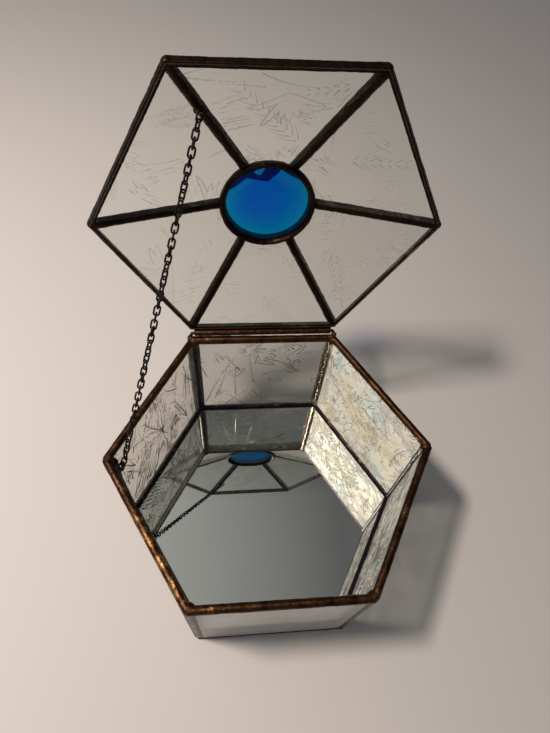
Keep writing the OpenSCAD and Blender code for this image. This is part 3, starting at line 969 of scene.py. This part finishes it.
# How each lid panel looks: clearness, haze, line strength, fronds, fans, bundles and hairlines
LID_LOOKS = {
    "front": (0.998, 0.02, 0.42, 0, 1, 4, 0), "front_right": (0.96, 0.02, 0.40, 2, 1, 8, 1),
    "back_right": (0.90, 0.03, 0.42, 2, 2, 8, 1), "back": (0.90, 0.03, 0.25, 2, 1, 6, 2),
    "back_left": (0.93, 0.03, 0.32, 2, 1, 7, 1), "front_left": (0.975, 0.02, 0.42, 2, 1, 9, 1),
}


def facet_place(turn):
    """Places a facet: X runs down its slope from the top of the lid, Y along its edge, Z outwards."""
    slope = Matrix.Rotation(LID_SLOPE, 4, "Y")
    return facing(turn) @ Matrix.Translation((0, 0, LID_Z + LID_RISE)) @ slope


def lid_panels():
    """Six lid panels, chipped on the face that looks into the shut box."""
    for number, (side, turn) in enumerate(WALLS.items()):
        clear, haze, line, fronds, fans, bundles, hairs = LID_LOOKS[side]
        half = FACET_REACH * math.tan(FACET_EDGE)
        inner = HOLE_R / math.cos(LID_SLOPE)
        panel = glass_slab("lid_panel_" + side, half, inner, FACET_REACH, PANEL_PITCH, HOLE_R)
        joint = 0.0002 / math.cos(FACET_EDGE)
        for s in (-1, 1):
            edge = (s * math.cos(FACET_EDGE), -math.sin(FACET_EDGE), 0)
            cut_away(panel, (s * -joint, 0, 0), edge, False)
        thicken(panel)
        frost = Frost(31 + number)
        frost.draw(LID_MARKS.get(side, []))
        frost.scatter((-0.6 * half, inner), (0.6 * half, FACET_REACH), fronds, fans, bundles, hairs, 1.2)
        press_frost(panel, frost, *LID_FROST)
        smooth(panel, 40)
        to_facet = Matrix(((0, 1, 0, 0), (1, 0, 0, 0), (0, 0, -1, -GLASS_T / 2), (0, 0, 0, 1)))
        carried(panel, OPENED @ facet_place(turn) @ to_facet)
        tint = (clear, 1.008 * clear, 0.985 * clear)
        material = glass_finish("chipped glass of the %s facet" % side.replace("_", " "), tint,
                                (0.66, 0.67, 0.64), (0.12, 0.13, 0.12), haze, line)
        finish_piece(panel, "lid", "clear_glass", material, "lid_glass_" + side)


# Solder

def post(turn, low, high):
    """Corner solder: a fillet inside and a round post outside."""
    axis = Vector((INNER_CORNER, 0, 0))
    centre = Vector((INNER_CORNER + POST_SHIFT, 0, 0))
    up = Vector((0, 0, 1))
    outside = bar(centre + up * low, centre + up * high, POST_R, 32)
    cut_away(outside, axis, (-1, 0, 0))
    inside = bar(axis + up * low, axis + up * high, FILLET_R, 24)
    return [carried(piece, facing(turn)) for piece in (outside, inside)]


def side_bar(turn, at, z, half, radius):
    return carried(bar((at, -half, z), (at, half, z), radius), facing(turn))


def rim_pieces():
    """Bead on the walls' upper edge: a low crown and a skirt that covers the foil."""
    skirt = PANEL_HIGH - 0.0015
    parts = []
    for side, turn in WALLS.items():
        crown = RIM_Z - (BACK_RIM_DROP if side == "back" else RIM_DROP)
        parts.append(side_bar(turn, WALL_AT, crown, SIDE / 2, RIM_R))
        block_low = (WALL_AT - RIM_R + 0.00008, -SIDE / 2, skirt)
        parts.append(carried(block(block_low, (WALL_AT + RIM_R - 0.00008, SIDE / 2, crown)), facing(turn)))
    for turn in CORNERS.values():
        parts += post(turn, skirt, RIM_Z)
        lump = ball((SIDE - 0.0009, 0, RIM_Z - RIM_DROP - LUMP_R + RIM_R), LUMP_R)
        parts.append(carried(lump, facing(turn)))
    # A run of solder on the back edge comes near the hinge on the left
    start = (-0.0384, WALL_AT + 0.0012, RIM_Z + 0.0005)
    end = (0.024, WALL_AT + 0.0007, RIM_Z + 0.0002)
    parts.append(bar(start, end, 0.0010))
    rim = hold_in(run_solder("rim_bead_solder", parts, LONG_BEAD_CELL), "rim_bead")
    finish_piece(rim, "root", "solder", RIM_SOLDER, "rim_bead")


# The back right corner takes the solder with the painted reflection of the bright panel
CORNER_FINISH = {"back_right": PAINTED_REFLECTION_CORNER_SOLDER, "front_left": GREY_SOLDER, "front_right": GREY_SOLDER}


def corner_pieces():
    for corner, turn in CORNERS.items():
        parts = post(turn, FOOT_H - 0.0004, RIM_Z - RIM_SKIRT + 0.0004)
        if corner == "left":
            # Extra solder stands under the rim, above the chain's eye
            start, end = (-INNER_CORNER + 0.0006, 0, 0.0610), (-INNER_CORNER + 0.0009, 0, 0.0740)
            parts.append(bar(start, end, 0.0019))
        seam = run_solder("corner_solder_" + corner, parts)
        material = CORNER_FINISH.get(corner, SEAM_SOLDER)
        finish_piece(seam, "root", "solder", material, "corner_seam_" + corner)


def foot_pieces():
    parts = []
    for turn in WALLS.values():
        strip = block((WALL_AT - FOOT_HALF, -SIDE / 2, 0), (WALL_AT + FOOT_HALF, SIDE / 2, FOOT_H))
        parts.append(carried(strip, facing(turn)))
    for turn in CORNERS.values():
        parts += post(turn, 0, FOOT_H)
    foot = hold_in(run_solder("foot_bead_solder", parts, LONG_BEAD_CELL, 0.0002, 0.0001), "foot_bead")
    finish_piece(foot, "root", "solder", SEAM_SOLDER, "foot_bead")


def floor_pieces():
    half = INNER_AT * TAN_30
    parts = []
    for z in (mirror_high.z, mirror_low.z):
        parts += [side_bar(turn, INNER_AT, z, half, FILLET_R) for turn in WALLS.values()]
    seam = run_solder("floor_seam_solder", parts, LONG_BEAD_CELL, 0.0003, 0.00016)
    finish_piece(seam, "root", "solder", SEAM_SOLDER, "floor_seam")


def lid_rim_pieces():
    """Channel of solder round the lid's edge, over the foil on both faces."""
    half = LID_SIDE / 2 - 0.0002
    parts = []
    for turn in WALLS.values():
        channel = block((FACET_REACH - 0.0013, -half, -0.0017), (FACET_REACH + 0.0005, half, 0.0017))
        parts.append(carried(channel, facet_place(turn)))
    for turn in CORNERS.values():
        parts.append(carried(ball((LID_SIDE - 0.0013, 0, LID_Z + 0.0003), 0.0018), facing(turn)))
    middle = ((LID_AT + HINGE_AT.y) / 2, (LID_Z + HINGE_AT.z) / 2)
    parts.append(bar((-TUBE_HALF, *middle), (TUBE_HALF, *middle), 0.0009))
    rim = run_solder("lid_rim_solder", parts, SOLDER_CELL, 0.0003, 0.00018)
    hold_in(carried(hold_up(rim), OPENED), "lid_rim_bead")
    finish_piece(rim, "lid", "solder", LID_SOLDER, "lid_rim_bead")


def lid_seam_pieces():
    """Six ribs of solder where the facets meet, from the corners to the jewel's ring."""
    for corner, turn in CORNERS.items():
        start = Vector((LID_SIDE - 0.002, 0, LID_Z + 0.002 * math.tan(HIP_SLOPE)))
        end = Vector((RING_PATH, 0, LID_Z + (LID_SIDE - RING_PATH) * math.tan(HIP_SLOPE)))
        parts = [bar(start, end, LID_SEAM_R), ball(start, LID_SEAM_R), ball(end, 0.9 * LID_SEAM_R)]
        if corner == "front_left":
            # A drop of solder beside the chain's eye
            drop = start.lerp(end, 0.36)
            parts.append(ball(drop + Vector((0, -0.0017, -0.0009)), 0.0011))
        parts = [carried(part, facing(turn)) for part in parts]
        seam = run_solder("lid_seam_solder_" + corner, parts, SOLDER_CELL, 0.00045, 0.0003)
        carried(hold_up(seam), OPENED)
        finish_piece(seam, "lid", "solder", LID_SOLDER, "lid_seam_" + corner)


def jewel_ring_piece():
    """Narrow band of solder between the jewel and the facets, as deep as the glass."""
    band = ring(RING_PATH, RING_HALF, 96, 20, (0, 0, RING_Z - RING_INWARD), stretch=RING_R / RING_HALF)
    band = run_solder("jewel_ring_solder", [band], SOLDER_CELL, 0.0005, 0.00025)
    carried(band, OPENED)
    finish_piece(band, "lid", "solder", RING_SOLDER, "jewel_ring")


def lid_foil_piece():
    """Foil laps on both faces of each facet, along its outer edge and its two seams."""
    strips = []
    side_end = FACET_REACH / math.cos(FACET_EDGE)
    for turn in WALLS.values():
        for face in (-GLASS_T / 2 - FOIL_T, GLASS_T / 2):
            lap = block((FACET_REACH - FOIL_LAP, -LID_SIDE / 2 + 0.002, face),
                        (FACET_REACH, LID_SIDE / 2 - 0.002, face + FOIL_T))
            strips.append(carried(lap, facet_place(turn)))
            for s in (-1, 1):
                lap = block((0.021, min(-s * 0.0002, -s * FOIL_LAP), face),
                            (side_end, max(-s * 0.0002, -s * FOIL_LAP), face + FOIL_T))
                strips.append(carried(lap, facet_place(turn) @ Matrix.Rotation(s * FACET_EDGE, 4, "Z")))
    foil = join("lid_foil_laps", strips)
    carried(hold_up(foil), OPENED)
    finish_piece(foil, "lid", "copper_foil", FOIL, "lid_foils")


# Number of facets in each row of the jewel, and how far its back facets reach from its back
JEWEL_SIDES = 10
BACK_FACETS_H = 0.0014


def jewel_level(radius, z, turned):
    """One ring of the jewel's corners."""
    turn = math.pi / JEWEL_SIDES if turned else 0
    bpy.ops.mesh.primitive_circle_add(
        vertices=JEWEL_SIDES, radius=radius * JEWEL_R, location=(0, 0, z), rotation=(0, 0, turn))
    return bake_place(bpy.context.object)


# Outlines on the jewel's back, in parts of its radius: the facets painted navy as a dark reflection, and a
# pale facet among them that is left without it
DARK_REFLECTION_FACETS = ((-1.3, -0.3), (-0.88, -0.36), (-0.475, -0.713), (-0.034, -0.64), (0.254, -0.895),
               (0.83, -0.56), (1.3, -0.5), (1.0, -1.3), (-1.0, -1.3))
PALE_FACET = ((-0.33, -0.84), (-0.10, -0.93), (-0.17, -0.80), (-0.33, -0.84))


def within(point, outline):
    """Whether a point lies inside an outline: a line to its right crosses that an odd number of times."""
    x, y = point
    inside = False
    for (ax, ay), (bx, by) in zip(outline, outline[1:] + outline[:1]):
        if (ay > y) != (by > y) and x < ax + (y - ay) / (by - ay) * (bx - ax):
            inside = not inside
    return inside


def cut_back_facets(jewel, a, b, top):
    """Cuts the facets of the jewel's back along the line through two points."""
    bpy.ops.mesh.select_all(action="DESELECT")
    edited()
    for face in jewel.data.polygons:
        face.select = face.center.z < top
    bpy.ops.object.mode_set(mode="EDIT")
    bpy.ops.mesh.select_mode(type="FACE")
    across = (b[1] - a[1], a[0] - b[0], 0)
    bpy.ops.mesh.bisect(plane_co=(a[0] * JEWEL_R, a[1] * JEWEL_R, 0), plane_no=across)


def jewel_piece():
    """Round jewel: a girdle, two rows of crown facets outside and a shallow bevelled back inside."""
    low, high = jewel_low.z + JEWEL_INSET, jewel_high.z
    # Radius in parts of the jewel's own, height, and whether the corners are turned by half a facet
    levels = [(0.84, low, True), (0.93, low + 0.0008, False), (1.0, low + 0.0016, True),
              (1.0, high - 0.0062, True), (0.93, high - 0.0050, False), (0.73, high - 0.0020, True),
              (0.43, high, False)]
    jewel = join("jewel_glass", [jewel_level(*level) for level in levels])
    edit_all(jewel)
    bpy.ops.mesh.convex_hull()
    bpy.ops.mesh.select_all(action="SELECT")
    bpy.ops.mesh.dissolve_limited(angle_limit=math.radians(1))
    bpy.ops.mesh.normals_make_consistent(inside=False)
    for edges in (DARK_REFLECTION_FACETS[1:6], PALE_FACET):
        for a, b in zip(edges, edges[1:]):
            cut_back_facets(jewel, a, b, low + BACK_FACETS_H)
    edited()
    modify(jewel, "BEVEL", width=0.00016, segments=2, limit_method="ANGLE", angle_limit=math.radians(6))
    mark(jewel, "out", [vertex.co.xy.length / JEWEL_R for vertex in jewel.data.vertices])

    # Facets of the back within the outline carry the painted dark reflection, except the pale facet
    def in_dark_reflection(face):
        at = face.center.xy / JEWEL_R
        at_back = face.center.z < low + BACK_FACETS_H
        return at_back and within(at, DARK_REFLECTION_FACETS) and not within(at, PALE_FACET)

    mark(jewel, "shade", [1.0 if in_dark_reflection(face) else 0.0 for face in jewel.data.polygons], "FACE")
    carried(jewel, OPENED)
    smooth(jewel, 12)
    finish_piece(jewel, "lid", "jewel_glass", JEWEL, "jewel")


# Chain

def frame_at(at, along, toward):
    """Matrix with X along one direction, and Y towards another as far as it can."""
    x = along.normalized()
    z = x.cross(toward).normalized()
    y = z.cross(x)
    turn = Matrix((x, y, z)).transposed().to_4x4()
    return Matrix.Translation(at) @ turn


def model_link():
    """One oval wire link in the XZ plane, long in X, made from a ring whose halves are drawn apart."""
    link = ring(LINK_W / 2 - WIRE_R, WIRE_R, 24, 10, turn=(math.radians(90), 0, 0))
    run = (LINK_LEN - LINK_W) / 2
    for vertex in link.data.vertices:
        if abs(vertex.co.x) > 1e-6:
            vertex.co.x += math.copysign(run, vertex.co.x)
    return link


def chain_pieces():
    pattern = model_link()
    runs = []
    for end, counts, at, way in (("base", BASE_RUNS, 0, 1), ("lid", LID_RUNS, LINKS, -1)):
        for number, count in enumerate(counts, 1):
            here, at = at, at + way * count
            runs.append(("chain_%s_%d" % (end, number), min(here, at), max(here, at)))
    for body, first, last in runs:
        links = []
        for i in range(first, last):
            link = new_object("link", pattern.data.copy())
            at = BASE_EYE + (END_SHIFT + (i + 0.5) * PITCH) * CHAIN_DIR
            place = frame_at(at, CHAIN_DIR, BASE_EYE_AXIS)
            drift = CHAIN_TWIST * (i / (LINKS - 1)) ** 1.25
            carried(link, place @ Matrix.Rotation(i * LINK_TURN + drift, 4, "X"))
            links.append(link)
        piece = smooth(join(body + "_links", links))
        finish_piece(piece, body, "chain", CHAIN_WIRE, body)
    bpy.data.objects.remove(pattern)


def eye_piece(node, body, at, axis, toward, foot=None):
    """Wire eye that the chain hangs from, with the lump of solder that holds it."""
    parts = [ring(EYE_R, WIRE_R, 48, 12, (0, EYE_R, 0)), ball((0, 2 * EYE_R + 0.0004, 0), 0.00075)]
    parts = [carried(part, frame_at(at, axis, toward)) for part in parts]
    if foot:
        parts.append(bar(at + 0.8 * (foot - at), foot, 0.0009))
    eye = run_solder(node + "_wire", parts, 0.00013, 0.0001, 0.00006, 2)
    finish_piece(eye, body, "chain", CHAIN_WIRE, node)


def eye_pieces():
    eye_piece("chain_eye_base", "root", BASE_EYE, BASE_EYE_AXIS, Vector((-1, 0, 0)), BASE_EYE + EYE_FOOT)
    eye_piece("chain_eye_lid", "lid", LID_EYE, LID_EYE_AXIS, OPENED.to_3x3() @ Vector((0, 0, 1)))


def hinge_pieces():
    """Tube on the lid's back edge, and the solder over the rod's bent ends behind the back corners."""
    start = (-TUBE_HALF, HINGE_AT.y, HINGE_AT.z)
    end = (TUBE_HALF, HINGE_AT.y, HINGE_AT.z)
    tube = run_solder("hinge_tube_sleeve", [bar(start, end, TUBE_R)], 0.0003, 0.0001, 0.00012, 2)
    finish_piece(tube, "lid", "hinge_tube", HINGE_WIRE, "hinge_tube")
    lumps = []
    for s in (-1, 1):
        leg = s * LEG_X
        foot, top = (leg, LEG_Y, LEG_FOOT_Z), (leg, LEG_Y, LEG_TOP_Z)
        lumps += [bar(foot, top, LEG_SOLDER_R), ball(foot, LEG_SOLDER_R),
                  ball((leg - s * 0.0002, 0.0646, 0.0762), 0.0011), ball((leg, 0.0646, 0.0700), 0.0018)]
    lumps = run_solder("hinge_rod_lumps", lumps, 0.0003)
    finish_piece(lumps, "root", "solder", RIM_SOLDER, "hinge_rod_solder")
    paint(nodes["hinge_rod"], HINGE_WIRE)


wall_panels()
lid_panels()
rim_pieces()
corner_pieces()
foot_pieces()
floor_pieces()
lid_rim_pieces()
lid_seam_pieces()
lid_foil_piece()
jewel_ring_piece()
jewel_piece()
chain_pieces()
eye_pieces()
hinge_pieces()
for foil in ("wall_foils", "floor_foil", "jewel_foil"):
    paint(nodes[foil], FOIL)
paint(nodes["floor_mirror"], MIRROR)
